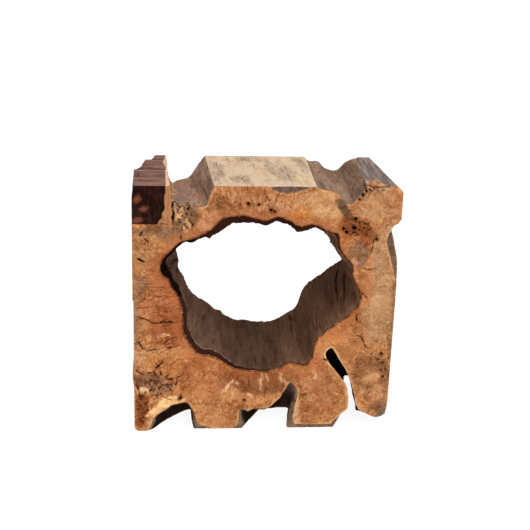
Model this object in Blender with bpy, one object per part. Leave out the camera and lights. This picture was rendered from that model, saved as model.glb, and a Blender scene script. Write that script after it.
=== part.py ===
"""A thick slice of a hollow tamarind trunk, sawn square and standing on its lower cut.

Six saw cuts square the block. Where the trunk's own surface lies inside them, it shows as fluted,
debarked wood: two valleys across the top, three gaps between root flares below, and waned corners.
Each such surface is lofted between outlines at stated depths, and carved out of the sawn block.

Outlines are in millimetres: x from the left cut, y back from the front cut, z up from the floor.
"""

import math

import bmesh
import bpy
from mathutils import Vector, noise

MM = 0.001

# The sawn block, in millimetres.
WIDTH = 580
DEPTH = 260
HEIGHT = 583

# How far cutters reach past the block's faces.
PAST = 17
ABOVE = HEIGHT + PAST
BELOW = -12
BEHIND = DEPTH + 12
BEFORE = -6

# Depth over which an eased edge runs back from the front cut.
EASED = 8

# The hollow, from its left tip down, round and back over the top: a point on the front cut, its
# match on the rear cut, and how much wider the flared rim is at the cut than just inside.
HOLLOW = [
    ((57, 391), (96, 340), 8),
    ((63, 380), (97, 333), 8),
    ((74, 374), (100, 322), 8),
    ((84, 350), (102, 303), 9),
    ((95, 338), (108, 291), 10),
    ((103, 310), (114, 281), 11),
    ((110, 284), (118, 266), 12),
    ((109, 254), (126, 250), 12),
    ((119, 224), (136, 239), 13),
    ((141, 194), (151, 225), 13),
    ((162, 190), (166, 215), 12),
    ((181, 182), (181, 205), 11),
    ((199, 172), (192, 194), 9),
    ((222, 157), (207, 192), 7),
    ((235, 155), (212, 183), 6),
    ((248, 153), (223, 175), 6),
    ((262, 151), (237, 168), 5),
    ((275, 150), (256, 167), 5),
    ((289, 149), (274, 164), 5),
    ((303, 149), (290, 161), 5),
    ((322, 154), (308, 162), 5),
    ((345, 167), (324, 161), 5),
    ((357, 169), (338, 164), 5),
    ((381, 162), (351, 170), 6),
    ((394, 170), (364, 180), 7),
    ((401, 185), (377, 188), 7),
    ((403, 204), (388, 196), 6),
    ((410, 226), (396, 210), 6),
    ((432, 247), (400, 233), 6),
    ((450, 263), (413, 255), 6),
    ((464, 274), (427, 270), 6),
    ((480, 284), (440, 281), 7),
    ((490, 299), (453, 290), 8),
    ((502, 312), (466, 303), 8),
    ((503, 330), (484, 315), 7),
    ((498, 348), (498, 324), 6),
    ((483, 378), (499, 332), 5),
    ((481, 398), (490, 342), 6),
    ((474, 414), (480, 356), 9),
    ((461, 427), (470, 371), 9),
    ((447, 457), (459, 390), 9),
    ((446, 476), (450, 402), 12),
    ((430, 479), (438, 425), 10),
    ((401, 494), (415, 448), 10),
    ((385, 499), (395, 462), 14),
    ((368, 494), (372, 470), 22),
    ((350, 498), (350, 474), 13),
    ((326, 513), (325, 478), 14),
    ((299, 513), (300, 481), 18),
    ((285, 507), (280, 482), 16),
    ((250, 514), (250, 484), 17),
    ((235, 519), (230, 484), 20),
    ((202, 515), (205, 478), 24),
    ((187, 507), (187, 472), 26),
    ((168, 486), (165, 460), 21),
    ((135, 467), (140, 440), 10),
    ((98, 453), (115, 412), 11),
    ((73, 430), (98, 378), 10),
    ((63, 415), (94, 358), 9),
]
HOLLOW_CENTRE = (285, 330)
LIP_DEPTH = 15
# A pocket rotted into the left wall behind the rim.
POCKET = 24
POCKET_DEPTH = 60
POCKET_END = 140
POCKET_ANGLE = math.radians(166)
POCKET_SPREAD = math.radians(9)

# The valley between the corner post and the flat top, left to right.
LEFT_VALLEY = [
    ((79, ABOVE), (69, ABOVE)),
    ((80, 583), (70, 583)),
    ((83, 551), (74, 551)),
    ((86, 547), (78, 529)),
    ((100, 545), (84, 516)),
    ((120, 543), (93, 521)),
    ((137, 538), (106, 526)),
    ((151, 536), (121, 530)),
    ((158, 541), (132, 540)),
    ((161, 555), (142, 555)),
    ((168, 572), (152, 569)),
    ((175, 583), (161, 583)),
    ((181, ABOVE), (170, ABOVE)),
]

# The valley between the flat top and the right-hand peak.
RIGHT_VALLEY = [
    ((391, ABOVE), (393, ABOVE)),
    ((393, 583), (396, 583)),
    ((402, 579), (401, 577)),
    ((416, 574), (409, 574)),
    ((430, 571), (421, 573)),
    ((443, 564), (431, 570)),
    ((452, 557), (438, 563)),
    ((459, 549), (446, 555)),
    ((466, 543), (460, 550)),
    ((474, 549), (473, 551)),
    ((482, 557), (482, 558)),
    ((490, 567), (490, 567)),
    ((498, 576), (499, 573)),
    ((504, 583), (511, 579)),
    ((507, 591), (525, 584)),
    ((510, ABOVE), (530, ABOVE)),
]

# The waned corner at the upper right, widest at the rear.
RIGHT_WANE = [
    ((567, ABOVE), (545, ABOVE)),
    ((570, 583), (550, 583)),
    ((581, 571), (566, 566)),
    ((590, 563), (584, 545)),
    ((600, 560), (600, 535)),
    ((600, ABOVE), (600, ABOVE)),
]

# The scoop in the right-hand front edge, deep at its top: on the front cut, close behind it, and
# where it runs out.
SCOOP_DEPTHS = (0, 12, 90)
RIGHT_SCOOP = [
    ((600, 514), (601, 513), (606, 510)),
    ((583, 507), (587, 506), (594, 502)),
    ((574, 500), (577, 499), (586, 494)),
    ((566, 495), (570, 494), (583, 489)),
    ((560, 482), (563, 482), (582, 480)),
    ((554, 465), (560, 465), (598, 466)),
    ((554, 452), (564, 452), (632, 452)),
    ((558, 437), (574, 437), (640, 437)),
    ((563, 420), (586, 420), (644, 420)),
    ((569, 402), (591, 402), (646, 402)),
    ((574, 384), (591, 384), (646, 384)),
    ((579, 364), (593, 364), (646, 364)),
    ((583, 350), (594, 350), (646, 350)),
    ((600, 342), (604, 342), (650, 342)),
]

# The gap between the left foot and the second: on the front cut, at the eased edge, half way
# in, and where it runs out.
LEFT_GAP_DEPTHS = (0, EASED, 55, 108)
LEFT_GAP = [
    ((30, BELOW), (41, BELOW), (76, BELOW), (122, BELOW)),
    ((31, 4), (42, 2), (76, 2), (122, -8)),
    ((40, 27), (48, 22), (78, 14), (123, -6)),
    ((52, 42), (56, 36), (82, 25), (124, -5)),
    ((68, 54), (70, 46), (88, 33), (125, -5)),
    ((84, 65), (84, 57), (95, 40), (126, -5)),
    ((98, 68), (98, 60), (103, 44), (127, -5)),
    ((110, 71), (110, 63), (110, 46), (128, -5)),
    ((119, 72), (118, 65), (117, 46), (129, -5)),
    ((126, 66), (123, 58), (123, 42), (130, -5)),
    ((136, 46), (129, 38), (129, 27), (130, -6)),
    ((143, 26), (132, 18), (130, 14), (131, -8)),
    ((152, 12), (134, 3), (131, 2), (131, -10)),
    ((152, BELOW), (134, BELOW), (131, BELOW), (131, BELOW)),
]

# The gap between the second foot and the third, at like depths.
MIDDLE_GAP_DEPTHS = (0, EASED, 60, 108)
MIDDLE_GAP = [
    ((232, BELOW), (250, BELOW), (275, BELOW), (296, BELOW)),
    ((233, 14), (249, 5), (275, 3), (296, -6)),
    ((238, 28), (244, 18), (274, 14), (297, -4)),
    ((238, 44), (241, 34), (272, 26), (298, -4)),
    ((244, 54), (244, 46), (272, 33), (300, -4)),
    ((258, 50), (257, 43), (277, 33), (304, -4)),
    ((270, 56), (269, 48), (284, 36), (309, -4)),
    ((298, 55), (298, 47), (302, 35), (316, -4)),
    ((314, 62), (313, 56), (318, 38), (325, -3)),
    ((332, 82), (330, 76), (330, 50), (333, 0)),
    ((345, 108), (344, 102), (342, 62), (340, 3)),
    ((352, 119), (352, 114), (350, 68), (347, 4)),
    ((361, 116), (359, 110), (357, 66), (354, 3)),
    ((370, 103), (366, 98), (363, 58), (359, 0)),
    ((372, 88), (364, 84), (362, 46), (361, -2)),
    ((367, 62), (357, 58), (360, 32), (363, -4)),
    ((365, 38), (350, 32), (357, 18), (364, -5)),
    ((366, 20), (348, 6), (356, 3), (364, -8)),
    ((366, BELOW), (348, BELOW), (356, BELOW), (364, BELOW)),
]

# The slot between the third foot and the fourth, whose roof comes down nearly to the floor behind.
SLOT_DEPTHS = (0, EASED, 50, DEPTH)
SLOT = [
    ((452, BELOW), (461, BELOW), (466, BELOW), (514, BELOW)),
    ((453, 20), (462, 6), (467, 5), (514, 1)),
    ((468, 32), (470, 24), (473, 19), (515, 3)),
    ((480, 42), (481, 38), (481, 33), (516, 4)),
    ((490, 52), (489, 52), (488, 46), (518, 6)),
    ((491, 72), (490, 72), (489, 64), (519, 7)),
    ((489, 93), (488, 93), (487, 82), (521, 8)),
    ((484, 113), (483, 113), (483, 98), (523, 9)),
    ((471, 130), (470, 130), (474, 114), (525, 10)),
    ((452, 153), (452, 153), (461, 132), (527, 10)),
    ((434, 178), (434, 178), (449, 148), (529, 11)),
    ((432, 195), (432, 195), (446, 160), (531, 11)),
    ((442, 206), (442, 206), (452, 169), (533, 11)),
    ((452, 198), (452, 198), (460, 164), (535, 10)),
    ((468, 168), (468, 168), (472, 147), (537, 9)),
    ((485, 138), (485, 138), (486, 127), (539, 8)),
    ((494, 115), (494, 115), (496, 108), (541, 7)),
    ((503, 84), (503, 84), (504, 80), (543, 5)),
    ((508, 62), (508, 60), (510, 58), (545, 4)),
    ((512, 50), (513, 46), (515, 40), (546, 2)),
    ((512, BELOW), (514, BELOW), (517, BELOW), (547, BELOW)),
]

# The rounded underside of the fourth foot, which comes down to the floor behind.
UNDERSIDE_END = 100
UNDERSIDE = [
    ((496, BELOW), (516, BELOW)),
    ((506, 62), (520, -7)),
    ((513, 52), (526, -6)),
    ((530, 40), (538, -5)),
    ((548, 31), (552, -5)),
    ((562, 27), (562, -5)),
    ((573, 28), (573, -5)),
    ((581, 36), (582, -5)),
    ((600, 50), (600, -6)),
    ((600, BELOW), (600, BELOW)),
]

# The broken lower right-hand corner of the front cut.
CORNER_END = 14
BROKEN_CORNER = [
    ((600, 95), (604, 34)),
    ((582, 72), (590, 31)),
    ((568, 54), (586, 28)),
    ((553, 33), (582, 24)),
    ((556, 18), (583, 20)),
    ((600, 18), (604, 20)),
]

# The shallow waned strip under the top's front edge.
STRIP_END = 7
TOP_STRIP = [
    ((288, ABOVE), (300, ABOVE)),
    ((292, 580), (304, 590)),
    ((304, 572), (314, 588)),
    ((324, 567), (330, 587)),
    ((345, 566), (345, 587)),
    ((362, 573), (356, 588)),
    ((378, 580), (366, 590)),
    ((382, ABOVE), (370, ABOVE)),
]

# The rounded lower left-hand corner, which fades out behind.
FOOT_CORNER_END = 70
FOOT_CORNER = [
    ((-10, 22), (-10, 6)),
    ((-1, 13), (-3, 2)),
    ((3, 6), (-1, -2)),
    ((10, 2), (2, -4)),
    ((24, -3), (8, -6)),
    ((24, BELOW), (8, BELOW)),
    ((-10, BELOW), (-10, BELOW)),
]

# The rear left-hand corner, broken along the grain: plan outlines (x, y) at the top, half way
# down, and at the floor.
REAR_CORNER_HEIGHTS = (ABOVE, 290, BELOW)
REAR_CORNER = [
    ((-14, 112), (-14, 166), (-14, 214)),
    ((-2, 128), (-2, 180), (-2, 226)),
    ((14, 146), (5, 190), (1, 232)),
    ((20, 189), (10, 206), (3, 238)),
    ((25, 217), (14, 222), (6, 243)),
    ((38, 218), (20, 230), (10, 247)),
    ((43, 249), (25, 247), (14, 253)),
    ((46, 262), (29, 264), (18, 264)),
    ((48, 280), (32, 280), (20, 280)),
    ((-14, 280), (-14, 280), (-14, 280)),
]

# The eased lower front edge of the second and third feet: x, and the height of the ease. Its wedge
# reaches past the block by this share of its size.
FRONT_EASE = [
    (118, 17),
    (150, 14),
    (176, 5),
    (214, 5),
    (240, 13),
    (350, 16),
    (400, 13),
    (440, 14),
    (505, 20),
]
EASE_REACH = 1.8

# A chip out of the left-hand front edge: x, z and radius.
CHIP = (-3, 562, 8)

# The wood's colour and roughness.
WOOD_COLOUR = (0.47, 0.23, 0.105, 1.0)
WOOD_ROUGHNESS = 0.62

# Steps that each outline is divided into between two of its points, and the spacing of rings.
STEPS = 2
RING_SPACING = 18

# The trunk's surface is uneven: wavelengths across and along the grain, and heights.
RIPPLE_ACROSS = 34
RIPPLE_ALONG = 150
RIPPLE_HEIGHT = 2.6
FINE_RIPPLE_ACROSS = 15
FINE_RIPPLE_HEIGHT = 1.3


def clear_scene():
    for thing in list(bpy.data.objects):
        bpy.data.objects.remove(thing)


def new_collection(name):
    made = bpy.data.collections.new(name)
    bpy.context.scene.collection.children.link(made)
    return made


def wood():
    material = bpy.data.materials.new("tamarind")
    material.use_nodes = True
    shader = material.node_tree.nodes["Principled BSDF"]
    shader.inputs["Base Color"].default_value = WOOD_COLOUR
    shader.inputs["Roughness"].default_value = WOOD_ROUGHNESS
    return material


def sawn_block(name, collection):
    """The squared block, with its origin at the middle of the bottom cut."""
    bpy.ops.mesh.primitive_cube_add(size=1, location=(0, 0, HEIGHT * MM / 2))
    block = bpy.context.active_object
    block.name = name
    block.scale = (WIDTH * MM, DEPTH * MM, HEIGHT * MM)
    bpy.ops.object.transform_apply(location=True, rotation=False, scale=True)
    for other in list(block.users_collection):
        other.objects.unlink(block)
    collection.objects.link(block)
    block.data.materials.append(wood())
    return block


def blend(a, b, share):
    return tuple(p + (q - p) * share for p, q in zip(a, b))


def between(sections, depths, depth):
    """The outline at a depth, from the matched outlines at the stated depths."""
    if depth <= depths[0]:
        return [row[0] for row in sections]
    for i in range(len(depths) - 1):
        if depth <= depths[i + 1]:
            share = (depth - depths[i]) / (depths[i + 1] - depths[i])
            return [blend(row[i], row[i + 1], share) for row in sections]
    return [row[-1] for row in sections]


def rounded(outline, steps=STEPS):
    """A closed Catmull-Rom curve through the outline's points."""
    count = len(outline)
    curve = []
    for i in range(count):
        before, here, after, beyond = (Vector(outline[(i + k) % count]) for k in (-1, 0, 1, 2))
        for step in range(steps):
            t = step / steps
            curve.append(
                0.5
                * (
                    2 * here
                    + (after - before) * t
                    + (2 * before - 5 * here + 4 * after - beyond) * t**2
                    + (3 * here - before - 3 * after + beyond) * t**3
                )
            )
    return curve


def ripple(x, along, z, seed):
    """How far the trunk's surface moves in x and z, in ridges that run along the grain."""
    moved = []
    for axis in (0, 1):
        shift = seed * 7.3 + axis * 31.7
        broad = Vector((x / RIPPLE_ACROSS + shift, along / RIPPLE_ALONG, z / RIPPLE_ACROSS))
        fine = Vector((x / FINE_RIPPLE_ACROSS, along / RIPPLE_ALONG + shift, z / FINE_RIPPLE_ACROSS))
        moved.append(RIPPLE_HEIGHT * noise.noise(broad) + FINE_RIPPLE_HEIGHT * noise.noise(fine))
    return moved


def ring_depths(first, last, stops):
    """Depths from first to last, no further apart than the ring spacing, with the stops among them."""
    fixed = sorted({first, last, *(s for s in stops if first < s < last)})
    depths = [fixed[0]]
    for a, b in zip(fixed, fixed[1:]):
        parts = max(1, math.ceil((b - a) / RING_SPACING))
        depths += [a + (b - a) * k / parts for k in range(1, parts + 1)]
    return depths


def skinned(name, rings, collection):
    """A closed cutter through rings of equal numbers of points, its ends filled."""
    shape = bmesh.new()
    loops = [[shape.verts.new(Vector(p) * MM) for p in ring] for ring in rings]
    count = len(loops[0])
    for near, far in zip(loops, loops[1:]):
        for i in range(count):
            shape.faces.new((near[i], near[(i + 1) % count], far[(i + 1) % count], far[i]))
    shape.faces.new(loops[0])
    shape.faces.new(loops[-1])
    bmesh.ops.recalc_face_normals(shape, faces=shape.faces)
    mesh = bpy.data.meshes.new(name)
    shape.to_mesh(mesh)
    shape.free()
    cutter = bpy.data.objects.new(name, mesh)
    cutter.location = (-WIDTH * MM / 2, -DEPTH * MM / 2, 0)
    cutter.hide_render = True
    cutter.display_type = "WIRE"
    collection.objects.link(cutter)
    return cutter


def grain_cutter(name, sections, depths, seed, collection, reach=None):
    """A cutter whose outlines lie across the grain, from before the front cut to its last depth."""
    last = depths[-1] if reach is None else reach
    rings = []
    for depth in ring_depths(BEFORE, last, depths):
        ring = []
        for x, z in rounded(between(sections, depths, depth)):
            dx, dz = ripple(x, depth, z, seed)
            ring.append((x + dx, depth, z + dz))
        rings.append(ring)
    return skinned(name, rings, collection)


def corner_cutter(name, sections, heights, seed, collection):
    """A cutter whose outlines are plans at the stated heights, from the top down."""
    rings = []
    for drop in ring_depths(0, heights[0] - heights[-1], [heights[0] - h for h in heights]):
        height = heights[0] - drop
        falls = [heights[0] - h for h in heights]
        ring = []
        for x, y in rounded(between(sections, falls, drop)):
            dx, dy = ripple(x, height, y, seed)
            ring.append((x + dx, y + dy, height))
        rings.append(ring)
    return skinned(name, rings, collection)


def hollow_sections():
    """The hollow's outlines on the front cut, inside its rim, at its pocket, past it, and at the rear."""
    depths = (0, LIP_DEPTH, POCKET_DEPTH, POCKET_END, DEPTH)
    sections = []
    for front, rear, lip in HOLLOW:
        outward = Vector(front) - Vector(HOLLOW_CENTRE)
        angle = math.atan2(outward.y, outward.x)
        outward.normalize()
        inner = Vector(front) - outward * lip
        away = (angle - POCKET_ANGLE + math.pi) % (2 * math.pi) - math.pi
        pocket = outward * POCKET * math.exp(-((away / POCKET_SPREAD) ** 2))
        row = [front, tuple(inner)]
        row.append(tuple(Vector(blend(inner, rear, POCKET_DEPTH / DEPTH)) + pocket))
        row.append(tuple(Vector(blend(inner, rear, POCKET_END / DEPTH)) + pocket / 3))
        row.append(rear)
        sections.append(row)
    return sections, depths


def front_ease_cutter(collection):
    """A long wedge along the lower front edge, of changing height."""
    rings = []
    for x, height in FRONT_EASE:
        outline = [
            (BEFORE, BELOW),
            (BEFORE, height * EASE_REACH),
            (0, height),
            (EASED, 0),
            (EASED * EASE_REACH, BELOW),
        ]
        rings.append([(x, y, z) for y, z in outline])
    return skinned("cut_front_ease", rings, collection)


def chip_cutter(collection):
    x, z, radius = CHIP
    bpy.ops.mesh.primitive_uv_sphere_add(segments=12, ring_count=8, radius=radius * MM)
    chip = bpy.context.active_object
    chip.name = "cut_chip"
    chip.location = ((x - WIDTH / 2) * MM, -DEPTH * MM / 2, z * MM)
    chip.hide_render = True
    chip.display_type = "WIRE"
    for other in list(chip.users_collection):
        other.objects.unlink(chip)
    collection.objects.link(chip)
    return chip


def carve(block, cutters):
    for cutter in cutters:
        cut = block.modifiers.new(cutter.name, "BOOLEAN")
        cut.operation = "DIFFERENCE"
        cut.solver = "EXACT"
        cut.object = cutter


def main():
    clear_scene()
    parts = new_collection("tamarind wood slice")
    cuts = new_collection("natural surfaces")
    slice_block = sawn_block("tamarind_slice", parts)
    hollow, hollow_depths = hollow_sections()
    through = (0, DEPTH)
    carve(
        slice_block,
        [
            grain_cutter("cut_hollow", hollow, hollow_depths, 1, cuts, BEHIND),
            grain_cutter("cut_left_valley", LEFT_VALLEY, through, 2, cuts, BEHIND),
            grain_cutter("cut_right_valley", RIGHT_VALLEY, through, 3, cuts, BEHIND),
            grain_cutter("cut_right_wane", RIGHT_WANE, through, 4, cuts, BEHIND),
            grain_cutter("cut_right_scoop", RIGHT_SCOOP, SCOOP_DEPTHS, 5, cuts),
            grain_cutter("cut_left_gap", LEFT_GAP, LEFT_GAP_DEPTHS, 6, cuts),
            grain_cutter("cut_middle_gap", MIDDLE_GAP, MIDDLE_GAP_DEPTHS, 7, cuts),
            grain_cutter("cut_slot", SLOT, SLOT_DEPTHS, 8, cuts, BEHIND),
            grain_cutter("cut_underside", UNDERSIDE, (0, UNDERSIDE_END), 9, cuts),
            grain_cutter("cut_broken_corner", BROKEN_CORNER, (0, CORNER_END), 10, cuts),
            grain_cutter("cut_top_strip", TOP_STRIP, (0, STRIP_END), 11, cuts),
            grain_cutter("cut_foot_corner", FOOT_CORNER, (0, FOOT_CORNER_END), 12, cuts),
            corner_cutter("cut_rear_corner", REAR_CORNER, REAR_CORNER_HEIGHTS, 13, cuts),
            front_ease_cutter(cuts),
            chip_cutter(cuts),
        ],
    )


main()
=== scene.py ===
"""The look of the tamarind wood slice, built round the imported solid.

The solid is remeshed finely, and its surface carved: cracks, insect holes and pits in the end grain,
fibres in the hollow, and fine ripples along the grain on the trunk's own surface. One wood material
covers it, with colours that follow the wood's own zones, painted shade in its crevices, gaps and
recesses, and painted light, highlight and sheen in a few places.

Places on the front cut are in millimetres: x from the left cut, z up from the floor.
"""

import math

import bmesh
import bpy
import numpy as np
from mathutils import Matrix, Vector
from mathutils.kdtree import KDTree


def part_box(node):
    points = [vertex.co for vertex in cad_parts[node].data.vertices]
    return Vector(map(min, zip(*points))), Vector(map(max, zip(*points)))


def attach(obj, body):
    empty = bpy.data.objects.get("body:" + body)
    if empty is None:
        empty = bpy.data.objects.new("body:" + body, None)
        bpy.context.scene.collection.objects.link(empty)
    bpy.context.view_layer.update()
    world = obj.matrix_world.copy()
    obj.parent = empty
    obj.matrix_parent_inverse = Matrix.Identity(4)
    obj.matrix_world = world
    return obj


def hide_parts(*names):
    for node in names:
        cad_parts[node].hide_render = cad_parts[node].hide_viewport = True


NODE = "tamarind_slice"
MM = 0.001

# The camera that the photograph was taken with, in metres and radians.
CAMERA_AT = Vector((-0.2171, -2.3793, 1.2270))
CAMERA_YAW = 0.09477
CAMERA_PITCH = 0.34888
CAMERA_ROLL = -0.03394
SENSOR = 36.0
LENS = 74.72

# Spacing of the fine mesh, and the most triangles that the finished one keeps.
FINE = 1.6 * MM
MOST_TRIANGLES = 197000

# A point this near to a saw cut's plane, in millimetres, lies on the cut.
ON_CUT = 0.9

# The floor, which lies just under the feet so that the two faces don't fall together.
FLOOR_SIZE = 60
FLOOR_DROP = 0.4 * MM

# The middle of the hollow on the front cut and on the rear one, and its half width and half height
# with some room, with the pocket in its left end and the slot's top, which is no part of it. Its
# fibres twist by so many degrees for each millimetre of depth on the right.
HOLLOW = (285, 330)
HOLLOW_REAR = (278, 300)
HOLLOW_REACH = (245, 205)
HOLLOW_RADIUS = 190
POCKET = (84, 400)
POCKET_REACH = 50
SLOT_TOP = (424, 212)
FIBRE_TWIST = 0.095

# How deep the hollow's dark rim is at places round it, in degrees from its right side.
RIM_DEPTHS = [
    (-180, 15), (-150, 15), (-112, 12), (-92, 6), (-60, 4), (-30, 3), (5, 3), (28, 6), (60, 14),
    (120, 16), (180, 15),
]

# Grooves in the hollow's wall: place round the wall in degrees, half width in degrees, depth, and
# the depths in from the front cut where each begins and ends.
GROOVES = [
    (-65, 0.8, 4.0, 20, 255), (-18, 0.8, 3.4, 60, 262), (-12.5, 0.7, 2.6, 40, 180),
    (-5, 0.9, 4.0, 0, 60), (-37, 0.9, 3.0, 20, 110), (-93, 0.6, 2.0, 170, 262),
    (-122, 0.6, 2.0, 170, 262), (-150, 0.8, 2.0, 60, 200), (170, 1.0, 3.0, 60, 262),
    (55, 1.0, 3.4, 40, 262), (95, 0.9, 3.0, 20, 200), (130, 0.9, 3.0, 60, 262),
]

# Lumps that hang from the roof of the hollow's rim: x, half width, and how far they hang. The roof is
# what lies above the height given last.
LUMPS = [(128, 20, 5), (166, 9, 6), (243, 30, 5), (325, 30, 3), (379, 22, 7)]
LUMPS_ABOVE = 440

# Insect holes in the front cut: x, z and radius.
HOLES = [
    (247, 544, 3.2), (269, 542, 2.6), (296, 530, 3.6), (304, 527, 2.4), (481, 512, 3.6),
    (480, 490, 4.2), (463, 481, 4.0), (456, 488, 2.6), (531, 464, 2.4), (559, 190, 3.2),
    (563, 168, 2.0), (553, 176, 1.8), (560, 150, 1.8), (566, 133, 2.2), (101, 80, 3.2), (105, 84, 3.0),
    (249, 76, 2.4), (486, 556, 2.2), (494, 565, 3.0), (501, 574, 2.6), (509, 580, 3.2), (519, 585, 2.4),
    (529, 587, 2.8), (541, 584, 2.0),
]
HOLE_DEPTH = 13

# Cracks in the front cut: width, depth, and the points that each runs through.
CRACKS = [
    (3.4, 9, [(85, 572), (84, 542), (86, 512), (84, 499)]),
    (3.6, 8, [(121, 550), (118, 527)]),
    (2.6, 7, [(108, 499), (103, 482), (104, 458)]),
    (1.3, 3, [(1, 497), (40, 497), (62, 498), (80, 496)]),
    (2.8, 6, [(14, 467), (22, 483), (28, 481)]),
    (3.0, 6, [(23, 466), (35, 455)]),
    (3.6, 8, [(9, 419), (17, 414), (28, 408)]),
    (2.4, 7, [(4, 279), (19, 279), (31, 274), (42, 267), (59, 268), (78, 271), (96, 268)]),
    (2.0, 6, [(4, 231), (12, 219), (20, 205), (33, 200), (59, 207), (80, 209), (101, 214)]),
    (1.4, 4, [(54, 212), (71, 221), (88, 233), (101, 235)]),
    (2.0, 6, [(20, 144), (39, 148), (54, 162), (67, 181)]),
    (2.2, 6, [(46, 147), (45, 136)]),
    (2.2, 6, [(59, 151), (63, 139), (71, 130), (97, 131), (106, 138), (110, 148)]),
    (1.4, 4, [(97, 131), (95, 114), (91, 103)]),
    (1.4, 4, [(28, 100), (48, 108), (52, 124)]),
    (1.2, 3, [(167, 98), (191, 93)]),
    (2.4, 7, [(500, 344), (509, 335), (519, 326)]),
    (2.0, 6, [(491, 296), (496, 286), (498, 270)]),
    (1.6, 4, [(493, 237), (510, 233), (516, 222), (519, 212), (528, 201)]),
    (1.6, 4, [(534, 88), (545, 99), (556, 107)]),
    (1.8, 5, [(378, 74), (381, 86), (392, 94)]),
    (3.4, 7, [(426, 180), (436, 172)]),
    (1.6, 4, [(544, 484), (551, 497), (566, 500)]),
    (1.6, 4, [(518, 424), (521, 442), (526, 462), (530, 471), (544, 478)]),
    (1.4, 3, [(250, 556), (262, 535)]),
    (1.4, 3, [(282, 560), (280, 532)]),
    (1.6, 4, [(56, 99), (47, 80), (40, 62), (35, 47)]),
    (1.4, 3, [(58, 96), (66, 84), (84, 79), (98, 84)]),
    (2.2, 5, [(3, 152), (14, 146), (22, 138)]),
    (2.0, 5, [(42, 154), (50, 141), (52, 126)]),
    (2.0, 5, [(3, 118), (10, 106), (12, 92)]),
    (1.8, 4, [(30, 84), (42, 90), (58, 90)]),
    (1.4, 3, [(498, 399), (515, 393), (532, 397), (548, 388)]),
    (1.2, 2, [(540, 549), (553, 540), (568, 538)]),
    (1.2, 2, [(538, 531), (552, 524), (571, 527)]),
    (1.2, 2, [(88, 545), (98, 536), (110, 541), (120, 534)]),
    (1.6, 4, [(120, 505), (128, 497), (124, 486)]),
]

# Pale curls in the front cut's figure: width and points.
CURLS = [
    (3.4, [(287, 141), (285, 122), (287, 104)]),
    (2.6, [(297, 140), (302, 128)]),
    (2.4, [(207, 105), (214, 115), (223, 124), (234, 118)]),
    (2.6, [(196, 96), (205, 101), (211, 108)]),
    (2.4, [(226, 84), (222, 92), (226, 101), (233, 104)]),
    (2.0, [(243, 88), (257, 92), (268, 86)]),
    (3.0, [(330, 141), (334, 128), (345, 118)]),
    (2.4, [(404, 150), (412, 141), (409, 131)]),
    (3.0, [(491, 384), (487, 396), (479, 418)]),
    (3.6, [(492, 366), (490, 380)]),
    (2.0, [(52, 236), (66, 240), (80, 238)]),
]

# Colours of the wood, as a screen shows them.
ORANGE = (184, 126, 80)
RED_ORANGE = (168, 98, 56)
DEEP_RED = (126, 66, 36)
RED_BROWN = (140, 80, 44)
BROWN = (140, 92, 58)
GREY_BROWN = (130, 94, 67)
GREY_TAN = (152, 112, 80)
TAN = (200, 150, 104)
PALE = (216, 168, 120)
PINK_TAN = (208, 148, 106)

CURL = (224, 176, 130)
STAIN = (104, 54, 30)

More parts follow.
